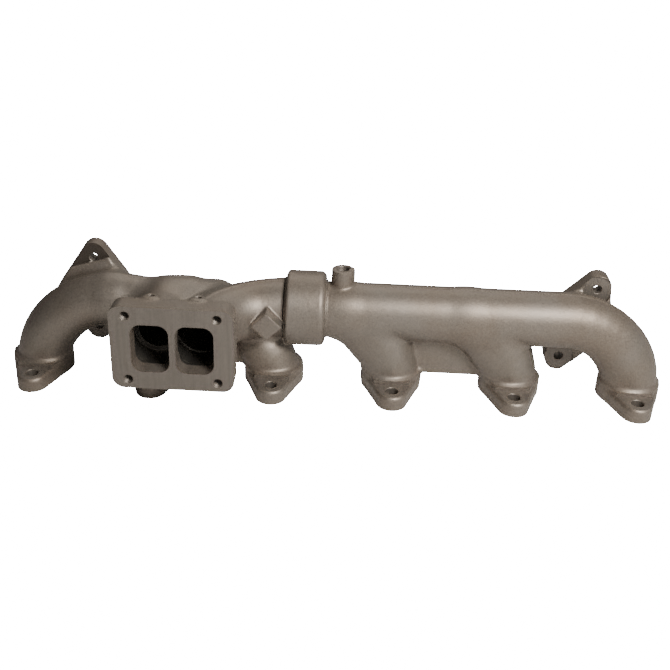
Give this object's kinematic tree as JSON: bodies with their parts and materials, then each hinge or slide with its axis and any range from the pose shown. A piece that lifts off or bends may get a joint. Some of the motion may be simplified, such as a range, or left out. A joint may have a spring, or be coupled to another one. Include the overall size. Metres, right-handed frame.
{
  "type": "exhaust manifold",
  "caption": "Two-piece cast-iron exhaust manifold for an in-line six, with a ring-sealed slip joint and a divided turbine flange.",
  "frame": {"origin": "centre of port 1 on the gasket plane", "axes": "+X along the row of ports from port 1 to port 6, +Z away from the cylinder head, -Y out of the turbine face"},
  "size_m": [0.701, 0.1635, 0.1388],
  "materials": {
    "front_iron": "shot-blasted casting, machined faces",
    "rear_iron": "shot-blasted casting, machined faces",
    "ring_steel": "fine turned"
  },
  "bodies": {
    "front_casting": {"front_casting": "front_iron"},
    "seal_rings": {"seal_ring_inner": "ring_steel", "seal_ring_middle": "ring_steel", "seal_ring_outer": "ring_steel"},
    "rear_casting": {"rear_casting": "rear_iron"}
  },
  "joints": [
    {"name": "slip_slide", "type": "slide", "parent": "front_casting", "child": "seal_rings", "axis": [1, 0, 0], "range_m": [-0.0025, 0.05]},
    {"name": "slip_twist", "type": "hinge", "parent": "seal_rings", "child": "rear_casting", "pos_m": [0.29, 0, 0.085], "axis": [1, 0, 0], "continuous": true}
  ]
}
